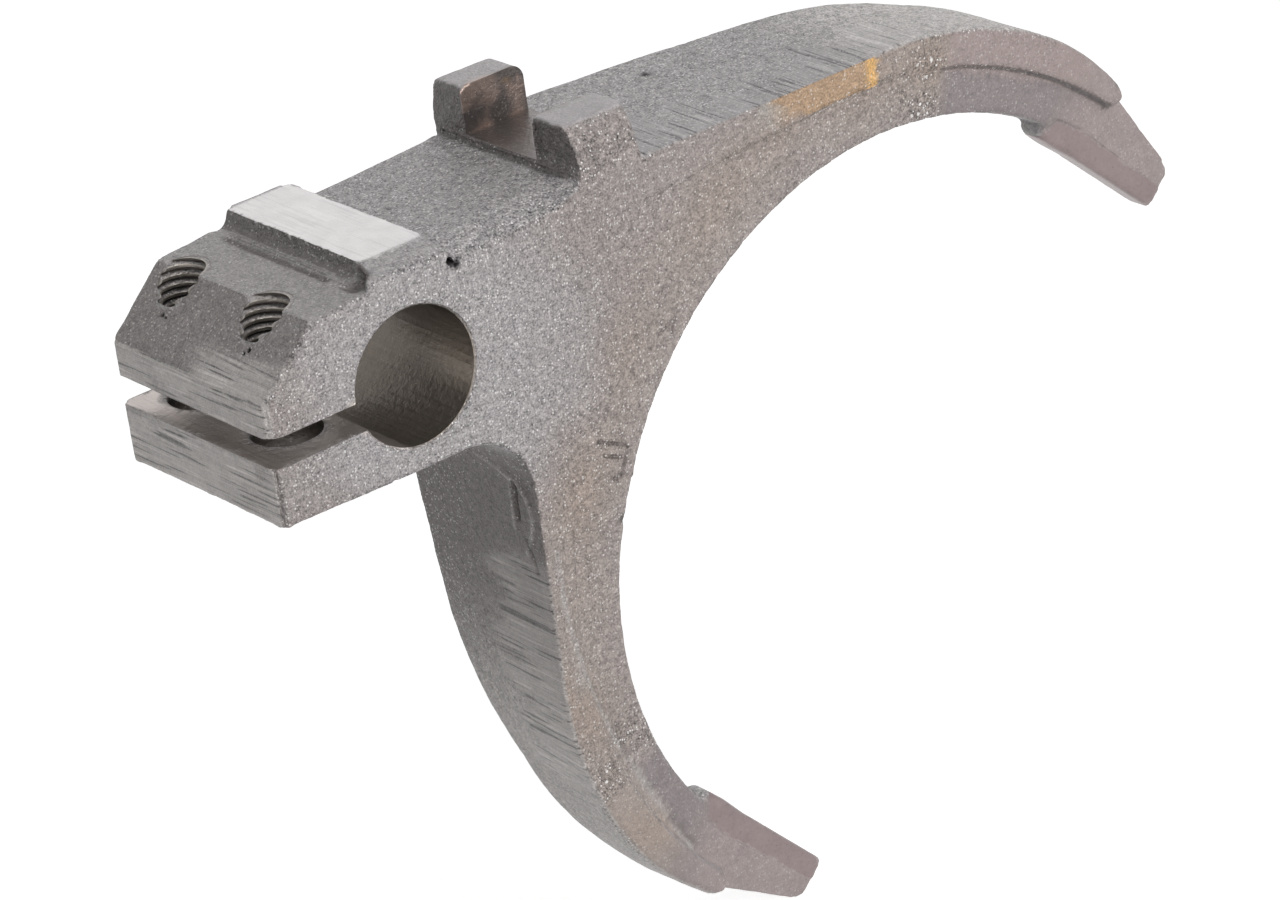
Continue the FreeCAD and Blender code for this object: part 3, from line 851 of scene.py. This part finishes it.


# the metal's tones as linear RGB, with painted shade and painted light among them

toneSettings = {
    "hub": (0.400, 0.380, 0.385),
    "web": (0.335, 0.298, 0.286),
    "brown": (0.345, 0.285, 0.250),
    "tip": (0.325, 0.275, 0.268),
    # the next two are painted shade on the faces turned to the left
    "armSideShade": (0.160, 0.145, 0.140),
    "jawSideShade": (0.270, 0.245, 0.238),
    # painted shade on the jaw's flat top, then painted light on the arms' tops
    "jawFlatShade": (0.350, 0.332, 0.330),
    "armTopLit": (0.400, 0.382, 0.386),
    # the next three are painted shade: in the cove and on the rims' steps, in grooves, holes, laps and sunk
    # figures, and in the cove's hollow
    "coveShade": (0.110, 0.098, 0.092),
    "darkShade": (0.075, 0.066, 0.060),
    "pocket": (0.125, 0.112, 0.102),
    "rimFar": (0.330, 0.272, 0.262),
    "webFar": (0.252, 0.220, 0.222),
    # painted shade on the lugs' left-facing sides, then painted light on the lugs' tops
    "lugSide": (0.165, 0.150, 0.145),
    "lugTopLit": (0.425, 0.400, 0.408),
    "strip": (0.400, 0.370, 0.345),
    "gold": (0.440, 0.305, 0.200),
    "goldBright": (0.800, 0.480, 0.170),
    # bare ground metal, also used for painted reflections
    "ground": (0.600, 0.570, 0.555),
    "machined": (0.540, 0.520, 0.522),
    # the bore: brownish cut metal with painted shade inside, more painted shade at its top, and painted light
    # on its right side
    "bore": (0.190, 0.165, 0.140),
    "boreTopShade": (0.095, 0.080, 0.062),
    "boreLit": (0.400, 0.350, 0.300),
    # painted shade on the slot's cut faces
    "slot": (0.130, 0.115, 0.110),
    "brownPatch": (0.330, 0.250, 0.215),
    "slit": (0.440, 0.395, 0.370),
    "thread": (0.420, 0.385, 0.340),
    "contact": (0.262, 0.210, 0.208),
    # painted highlight on edges and proud laps
    "ridge": (0.420, 0.400, 0.390),
    # painted shade in the pits
    "pitShade": (0.012, 0.010, 0.009),
}

# where the tones change: mm from the bore, or degrees round the fork from its line of symmetry
patchSettings = {
    "warm": (15.0, 40.0),  # from the hub's grey to the web's brown
    "brown": (79.0, 9.0),  # radius and width of the brown band
    "worn": (56.0, 58.5),  # where the smooth ends of the arms begin
    "wornRim": (66.0, 78.0),  # the same on the lower rim
    "strip": (27.9, 28.2, 29.4, 29.7),
    "gold": (29.4, 29.7, 45.2, 45.6),
    "goldBright": (43.6, 44.3),
}


def band(value, low, lowEnd, high, highEnd):
    # rises from low to lowEnd and falls from high to highEnd
    return smoothStep(low, lowEnd, value) * (1 - smoothStep(high, highEnd, value))


def blendTone(tone, share, name):
    tone[:] = tone * (1 - share[:, None]) + np.array(toneSettings[name]) * share[:, None]


def readPlaces(obj):
    # what the tones look up for each point, in mm and in the fork's own frame
    places, normals = readMesh(obj.data)
    at = SimpleNamespace(places=places, normals=normals)
    at.x, at.y, at.z = places.T
    at.t, at.s = forkPlace(at.x, at.z)
    at.front = smoothStep(0.45, 0.8, -normals[:, 1])
    at.upward = smoothStep(0.5, 0.85, normals[:, 2])
    at.flat = at.upward * (at.x < -4.2) * (at.x > -18.0) * (at.z > 15.0)
    at.angle = np.degrees(np.arctan2(at.s, -at.t))
    at.turned = np.where(at.s > 0, at.angle, -at.angle - 8.0)
    at.radius = np.hypot(at.t, at.s)
    at.fromHub = np.hypot(at.x - 4.0, at.z)
    at.cut = machinedShare(places, normals)
    return at


def frontTones(tone, at):
    # the broad tones of the front, from the hub out to the tips
    mottle = noiseAt(at.places, 14.0, 11)
    warm = smoothStep(*patchSettings["warm"], at.fromHub + mottle * 10.0)
    blendTone(tone, warm * at.front, "web")
    middle, width = patchSettings["brown"]
    brown = np.exp(-((at.radius - middle) / width) ** 2) * smoothStep(-95.0, -70.0, at.t)
    blendTone(tone, 0.65 * at.front * warm * brown * (1 + mottle), "brown")
    far = smoothStep(*patchSettings["worn"], at.turned)
    onRim = np.where(at.s > 0, at.z > np.interp(at.x, *zip(*rimLine)), at.x < lowerRimX(at.z))
    blendTone(tone, far * at.front * ~onRim, "webFar")
    blendTone(tone, far * at.front * onRim * (at.s > 0), "rimFar")
    worn = smoothStep(*patchSettings["wornRim"], at.turned) * at.front * onRim * (at.s < 0)
    blendTone(tone, worn, "webFar")
    blendTone(tone, at.front * smoothStep(-14.0, -4.0, at.t), "tip")


def stepTones(tone, at):
    # painted shade on the upper rim's wall, a painted highlight and painted shade along the lower rim's edge,
    # and painted shade along the sunk figures
    sideways = np.abs(at.normals[:, 1]) < 0.85
    rimWallShade = (at.s > 0) * (at.x > 116.0) * (at.y > 0.25) * (at.y < 2.4) * sideways * (at.radius < 79.5)
    blendTone(tone, rimWallShade * 0.65 * (at.radius > 70.0), "coveShade")
    seam, _ = distanceToLine(at.x, at.z, lowerRimLine)
    seam = np.exp(-(((seam - 0.35) / 0.4) ** 2)) * at.front * (at.z < -40.0)
    outer = at.x < lowerRimX(at.z)
    # painted highlight on the lower rim's outer edge, painted shade on its inner side
    blendTone(tone, seam * outer * 0.75, "ridge")
    blendTone(tone, seam * ~outer * 0.45 * smoothStep(-60.0, -85.0, at.z), "coveShade")
    for line in figures:
        far, _ = distanceToLine(at.x, at.z, line)
        blendTone(tone, at.front * 0.55 * np.exp(-(((far - 0.2) / 0.16) ** 2)), "darkShade")


def sideTones(tone, at):
    # the sides and tops of the hub, the jaws and the arms, with painted shade on the faces turned left, on
    # the jaw's flat top and in the cove, and painted light on the arms' tops
    leftward = -at.normals[:, 0]
    # painted shade on the left-facing sides of the lower arm and the jaws
    blendTone(tone, 0.9 * smoothStep(0.35, 0.8, leftward) * smoothStep(-19.0, -24.0, at.z), "armSideShade")
    blendTone(tone, 0.85 * smoothStep(0.3, 0.6, leftward) * (at.x < -17.0), "jawSideShade")
    # painted light on the arms' upward faces, painted shade on the jaw's flat top
    blendTone(tone, at.upward * (at.x > 9.5) * (1 - at.cut), "armTopLit")
    blendTone(tone, at.flat, "jawFlatShade")
    notFront = 1 - smoothStep(-0.2, 0.5, -at.normals[:, 1])
    # painted shade in the cove at the foot of the pad's wall
    coveShade = (at.x > -9.5) * (at.x < -3.3) * (at.z > 16.9) * (at.y > 1.0) * notFront
    blendTone(tone, coveShade * (1 - smoothStep(0.93, 0.995, at.normals[:, 2])) * 0.9, "coveShade")
    groove, _, pocket = coveLines(at.x, at.y)
    low = (at.z > 15.4) * (at.z < 19.4) * (at.x < -3.0)
    # painted shade in the groove at the wall's foot and in the hollow at its front end
    blendTone(tone, np.clip(groove * low * 0.8, 0, 1), "darkShade")
    blendTone(tone, np.clip(pocket * low * 0.75, 0, 1), "pocket")


def lugTones(tone, at):
    # painted shade on the notch floor by the front lug's wall and on the lugs' left-facing sides, painted
    # light on their tops
    shade = smoothStep(36.2, 36.8, at.x) * (at.x < 38.0) * (at.z > 19.5) * (at.z < 22.0) * (at.y > 3.0)
    blendTone(tone, shade * 0.7, "darkShade")
    side = (at.x > 36.0) & (at.x < 51.9) & (at.z > 20.6) & (at.normals[:, 0] < -0.4)
    blendTone(tone, side * 0.85, "lugSide")
    blendTone(tone, ((at.z > 28.6) & (at.normals[:, 2] > 0.7)) * 1.0, "lugTopLit")


def goldTones(tone, at):
    # the gold patch on the upper rim and the pale strip before it
    rimBand = (at.s > 0) * (at.z > np.interp(at.x, *zip(*rimLine)) + 0.2) * at.front
    gold = band(at.angle, *patchSettings["gold"]) * rimBand
    blendTone(tone, np.clip(gold, 0, 1), "gold")
    bright = gold * smoothStep(*patchSettings["goldBright"], at.angle)
    blendTone(tone, np.clip(bright * 0.8, 0, 1), "goldBright")
    strip = band(at.angle, *patchSettings["strip"]) * rimBand
    blendTone(tone, np.clip(strip, 0, 1), "strip")


def slotTones(tone, at):
    slotFaces = at.cut * (at.x > 36.0) * (at.x < 52.0) * (at.z > 20.0)
    # painted shade on the slot's cut faces
    blendTone(tone, slotFaces, "slot")
    blotch = smoothStep(0.1, 0.35, noiseAt(at.places, 3.6, 21) + 0.35 * (at.z > 25.5))
    blendTone(tone, slotFaces * (at.y > 29.5) * blotch * 0.8, "brownPatch")
    across = ((at.x - 47.3) / 0.55) ** 2
    fleck = np.exp(-across - (((at.z - 28.3) + 0.4 * (at.x - 47.3)) / 0.22) ** 2)
    blendTone(tone, np.clip(fleck * slotFaces * (at.y > 30.0) * 1.4, 0, 1), "goldBright")


def cutTones(tone, at):
    # the bore, slot, slit, screw holes and contact pads, with painted shade in the bore, the slot and the
    # holes and painted light on the bore's right side
    blendTone(tone, at.cut, "machined")
    bore = at.cut * (np.hypot(at.x, at.z) < cutSettings["boreRadius"])
    # painted shade inside the bore and at its top, painted light on its right side near the front
    blendTone(tone, bore, "bore")
    blendTone(tone, bore * smoothStep(3.0, 10.0, at.z), "boreTopShade")
    blendTone(tone, bore * smoothStep(8.5, 11.5, at.x) * (1 - smoothStep(3.0, 16.0, at.y)) * 0.8, "boreLit")
    slotTones(tone, at)
    blendTone(tone, at.cut * (at.x < -3.0) * (at.z < 0.0), "slit")
    holes = at.cut * (at.x < -12.0) * (np.abs(at.normals[:, 2]) < 0.8)
    blendTone(tone, holes, "thread")
    # painted shade inside the clearance holes, in the thread's roots and deeper down the tapped holes
    blendTone(tone, holes * (at.z < -5.3) * 0.85, "darkShade")
    for holeY in holePlaces():
        depth = np.hypot(at.x - threadSettings["x"], at.y - holeY)
        blendTone(tone, holes * (depth < 4.9) * smoothStep(4.15, 4.55, depth) * 0.85, "darkShade")
        blendTone(tone, holes * (depth < 4.9) * (1 - smoothStep(5.0, 13.0, at.z)) * 0.7, "darkShade")
    blendTone(tone, at.cut * (at.t > -11.0) * (np.abs(at.s) < 70.0), "contact")


def lapTones(tone, at, pitShadeShare):
    onArm = (at.normals[:, 0] < -0.2) & (at.x < 26.0) & (at.z < -20.0)
    for points, height, width in armLaps:
        far, _ = distanceToLine(at.y, at.z, points)
        share = np.where(onArm, np.exp(-((far / width) ** 2)), 0.0)
        # painted shade in the sunk laps, painted highlight on the proud ones
        blendTone(tone, share * 0.8, "darkShade" if height < 0 else "ridge")
    # painted shade in the pits
    blendTone(tone, pitShadeShare, "pitShade")


def groundShare(at):
    # 1 where the casting was dressed on a belt, with scratches along Y
    leftward = -at.normals[:, 0]
    grain = noiseAt(at.places * np.array([1.0, 0.25, 1.0]), 3.0, 31)
    outerUpper = smoothStep(0.3, 0.6, at.normals[:, 2]) * (at.x > 50.0) * (at.y < 24.0)
    edgeY = 13.0 + 9.0 * grain - 5.0 * band(at.x, 58.0, 72.0, 80.0, 96.0)
    ground = outerUpper * smoothStep(edgeY + 3.0, edgeY - 3.0, at.y) * (1 - smoothStep(50.0, 60.0, at.angle))
    outerLower = smoothStep(0.3, 0.6, leftward) * (at.z < -38.0)
    edgeY = 15.0 + 9.0 * grain
    reach = smoothStep(-40.0, -46.0, at.z) * smoothStep(-98.0, -84.0, at.z)
    ground += outerLower * smoothStep(edgeY + 3.0, edgeY - 3.0, at.y) * reach
    ground += (at.x < -28.9) * smoothStep(0.6, 0.8, leftward)
    slope = (at.x < -17.0) * (at.z > 0) * smoothStep(0.4, 0.6, leftward)
    slope = slope * smoothStep(-23.5, -27.0, at.x + 2 * grain)
    ground += slope * smoothStep(26.0, 16.0, at.y)
    return np.clip(ground, 0, 1) * (1 - at.cut)


def groundTones(tone, at, ground):
    leftward = -at.normals[:, 0]
    bareAndSheen = ground * smoothStep(0.2, 0.5, leftward) * np.where(at.z < -30.0, 0.35, 0.8)
    # painted reflection: the arms' upward faces lighter towards their far ends
    bareAndSheen = np.maximum(bareAndSheen, at.upward * smoothStep(92.0, 118.0, at.x) * 0.8)
    blendTone(tone, bareAndSheen, "ground")
    # lighter towards the bottom of the lower arm's left side: bare ground metal, and a painted reflection of
    # the floor
    polishedAndSheen = smoothStep(0.3, 0.6, leftward) * (at.z < -38.0) * smoothStep(-42.0, -84.0, at.z)
    blendTone(tone, 0.7 * polishedAndSheen, "ground")


def coarseShare(at):
    # how lively the grain is, most in a ring before the worn ends
    coarse = at.front * (1 - smoothStep(24.0, 60.0, at.fromHub)) * 0.35
    coarse += at.front * ((at.x > 36.0) & (at.z > 20.3)) * 0.35
    coarse += at.upward * (at.x > 9.6) * (at.z < 22.0) * 0.55
    # along the front edges the grain is livelier and gets more of the painted glints
    edge = np.exp(-(((at.y - 0.2) / 1.1) ** 2)) * (at.t < -20)
    edge *= smoothStep(0.12, 0.35, np.abs(at.normals[:, 2]))
    edge *= 1 - smoothStep(0.80, 0.95, at.normals[:, 2])
    coarse += 0.7 * edge
    zone = band(at.turned, 46.0, 53.0, 56.0, 58.0) * at.front
    zone = zone * smoothStep(-0.25, 0.2, noiseAt(at.places, 5.0, 33))
    return np.maximum(np.clip(coarse, 0, 0.75), zone)


def smoothShare(at):
    worn = smoothStep(55.5, 58.5, at.turned) * at.front * 0.8
    return worn + smoothStep(-22.0, -2.0, at.t) + (at.z > 28.8) * 0.9 + at.flat * 0.3


def writeColours(obj, name, rows):
    layer = obj.data.attributes.new(name, "FLOAT_COLOR", "POINT")
    layer.data.foreach_set("color", rows.ravel())


def toneCasting(obj, pitShadeShare):
    # two colour attributes: the metal's tone with painted shade and painted light in it, and how it was
    # finished
    at = readPlaces(obj)
    tone = np.empty((len(at.x), 3))
    tone[:] = toneSettings["hub"]
    frontTones(tone, at)
    stepTones(tone, at)
    sideTones(tone, at)
    lugTones(tone, at)
    goldTones(tone, at)
    cutTones(tone, at)
    lapTones(tone, at, pitShadeShare)
    ground = groundShare(at)
    groundTones(tone, at, ground)
    paint = np.ones((len(at.x), 4))
    paint[:, :3] = tone
    writeColours(obj, "tone", paint)
    # red for cut, green for ground, blue for coarse, alpha for smooth
    finish = np.clip(np.stack([at.cut, ground, coarseShare(at), smoothShare(at)], axis=1), 0, 1)
    writeColours(obj, "finish", finish)


# the steel itself

steelSettings = {
    "grain": 2600.0,  # per metre, the shot-blasted grain
    "patches": 260.0,
    "skin": 1000.0,
    "sparkle": 2100.0,
    "bigSparkle": 1000.0,
    "brush": (3600.0, 60.0, 3600.0),  # fine lines along Y on cut and ground faces
    "scratch": (1500.0, 55.0, 1500.0),
    "grainContrast": 1.012,
    "patchContrast": 0.30,
    "groundStreak": 0.9,
    "cutStreak": 0.16,
    # painted glints: the colour painted on the grains that seem to catch the light
    "glintPaint": (0.95, 0.93, 0.92, 1),  # colour of the grains that catch the light
    "metallic": 0.30,
    "cutMetallic": 0.40,  # added on cut faces
    "roughness": 0.47,
    "cutRoughness": -0.14,
    "bump": 0.8,
    "bumpHeight": 0.00022,  # m
}


def noiseNode(tree, place, scale, **inputs):
    return addNode(tree, "ShaderNodeTexNoise", Vector=place, Scale=scale, **inputs).outputs[0]


def lineNoise(tree, place, scale, detail):
    # noise drawn out into lines along Y
    drawn = addNode(tree, "ShaderNodeMapping", Vector=place, Scale=scale)
    return noiseNode(tree, drawn.outputs[0], 1.0, Detail=detail)


def product(tree, *factors):
    result = factors[0]
    for factor in factors[1:]:
        result = calc(tree, "MULTIPLY", result, factor)
    return result


def total(tree, *values):
    result = values[0]
    for value in values[1:]:
        result = calc(tree, "ADD", result, value)
    return result


def howRough(tree, cut, ground, coarse, smooth):
    # how rough the skin is: little on cut faces, half on the worn ends
    return product(
        tree,
        calc(tree, "MULTIPLY_ADD", cut, -0.88, 1.0),
        calc(tree, "MULTIPLY_ADD", smooth, -0.62, 1.0),
        calc(tree, "MULTIPLY_ADD", ground, -0.6, 1.0),
        calc(tree, "MULTIPLY_ADD", coarse, 0.9, 1.0),
    )


def grainSpeck(tree, place):
    grain = noiseNode(tree, place, steelSettings["grain"], Detail=2.0, Roughness=0.65)
    broad = noiseNode(tree, place, steelSettings["grain"] / 3, Detail=2.0)
    grain = calc(tree, "MULTIPLY_ADD", grain, 2.0, -1.0)
    return total(tree, grain, calc(tree, "MULTIPLY_ADD", broad, 1.0, -0.5))


def scratchStreak(tree, place):
    # fine brushing, with a few deep scratches and a few proud lines
    brushed = lineNoise(tree, place, steelSettings["brush"], 2.0)
    scratches = lineNoise(tree, place, steelSettings["scratch"], 1.0)
    proud = addNode(tree, "ShaderNodeMapRange", i0=scratches, i1=0.38, i2=0.33).outputs[0]
    deep = addNode(tree, "ShaderNodeMapRange", i0=scratches, i1=0.60, i2=0.65).outputs[0]
    brushed = calc(tree, "MULTIPLY_ADD", brushed, 0.9, -0.45)
    return total(tree, brushed, product(tree, deep, -0.60), product(tree, proud, 0.40))


def cellsLit(tree, place, scale, channel, rarity, size):
    # 1 in the middle of a few cells of a Voronoi pattern
    cells = addNode(tree, "ShaderNodeTexVoronoi", Vector=place, Scale=scale)
    chance = addNode(tree, "ShaderNodeSeparateColor", Color=cells.outputs["Color"]).outputs[channel]
    near = calc(tree, "LESS_THAN", cells.outputs["Distance"], size)
    return product(tree, calc(tree, "GREATER_THAN", chance, rarity), near)


def paintedGlintShare(tree, place, rough, coarse):
    # painted glints, bright grains painted into the base colour: small ones anywhere, large ones where the
    # skin is coarsest
    small = cellsLit(tree, place, steelSettings["sparkle"], 0, 0.80, 0.36)
    small = calc(tree, "MULTIPLY", small, rough, clamp=True)
    small = product(tree, small, calc(tree, "MULTIPLY_ADD", coarse, 0.6, 0.46))
    large = cellsLit(tree, place, steelSettings["bigSparkle"], 1, 0.60, 0.33)
    coarsest = calc(tree, "MULTIPLY", calc(tree, "SUBTRACT", coarse, 0.76), 5.0, clamp=True)
    return calc(tree, "MAXIMUM", small, product(tree, large, coarsest))


def castSteel():
    row = steelSettings
    material = bpy.data.materials.new("castSteel")
    material.use_nodes = True
    tree = material.node_tree
    shader = tree.nodes["Principled BSDF"]
    place = addNode(tree, "ShaderNodeTexCoord").outputs["Object"]
    tone = addNode(tree, "ShaderNodeAttribute", {"attribute_name": "tone"}).outputs["Color"]
    finish = addNode(tree, "ShaderNodeAttribute", {"attribute_name": "finish"})
    cut, ground, coarse = addNode(tree, "ShaderNodeSeparateColor", Color=finish.outputs["Color"]).outputs
    rough = howRough(tree, cut, ground, coarse, finish.outputs["Alpha"])
    speck = grainSpeck(tree, place)
    streak = scratchStreak(tree, place)

    patches = noiseNode(tree, place, row["patches"], Detail=3.0)
    level = total(
        tree,
        product(tree, speck, rough, row["grainContrast"]),
        calc(tree, "MULTIPLY_ADD", patches, row["patchContrast"], -row["patchContrast"] / 2),
        product(tree, streak, ground, row["groundStreak"]),
        product(tree, streak, cut, row["cutStreak"]),
        1.0,
    )
    grey = addNode(tree, "ShaderNodeCombineColor", Red=level, Green=level, Blue=level)
    multiply = {"data_type": "RGBA", "blend_type": "MULTIPLY"}
    shaded = addNode(tree, "ShaderNodeMix", multiply, i0=1.0, i6=tone, i7=grey.outputs[0])
    # painted glints mixed into the base colour
    lit = paintedGlintShare(tree, place, rough, coarse)
    shaded = addNode(
        tree, "ShaderNodeMix", {"data_type": "RGBA"}, i0=lit, i6=shaded.outputs[2], i7=row["glintPaint"]
    )
    tree.links.new(shaded.outputs[2], shader.inputs["Base Color"])

    metal = calc(tree, "MULTIPLY_ADD", cut, row["cutMetallic"], row["metallic"])
    tree.links.new(metal, shader.inputs["Metallic"])
    dull = calc(tree, "MULTIPLY_ADD", cut, row["cutRoughness"], row["roughness"])
    tree.links.new(total(tree, dull, product(tree, speck, 0.10)), shader.inputs["Roughness"])

    skin = calc(tree, "MULTIPLY_ADD", noiseNode(tree, place, row["skin"], Detail=2.0), 3.2, -1.6)
    height = total(
        tree,
        product(tree, speck, rough),
        product(tree, skin, rough),
        product(tree, streak, ground, 1.1),
        product(tree, streak, cut, 0.06),
    )
    bump = addNode(tree, "ShaderNodeBump", Strength=row["bump"], Distance=row["bumpHeight"], Height=height)
    tree.links.new(bump.outputs[0], shader.inputs["Normal"])
    return material


steel = castSteel()
casting = mergedCopy(castNode, "castingBody")
print("merged copy:", len(casting.data.polygons), "faces")
castEdges = castEdgeTree(casting)
tapHoles(casting, steel)
print("tapped:", len(casting.data.polygons), "faces")
refine(casting, castEdges)
print("refined:", len(casting.data.polygons), "faces")
roundEdges(casting, castEdges)
pitShadeShare = shapeCasting(casting)
toneCasting(casting, pitShadeShare)
thin(casting, machinedShare(*readMesh(casting.data)) > 0.5)
shade(casting)
print("thinned:", len(casting.data.polygons), "faces")
casting.data.materials.clear()
casting.data.materials.append(steel)
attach(casting, "root")
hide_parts("shift_fork")
print("casting finished")
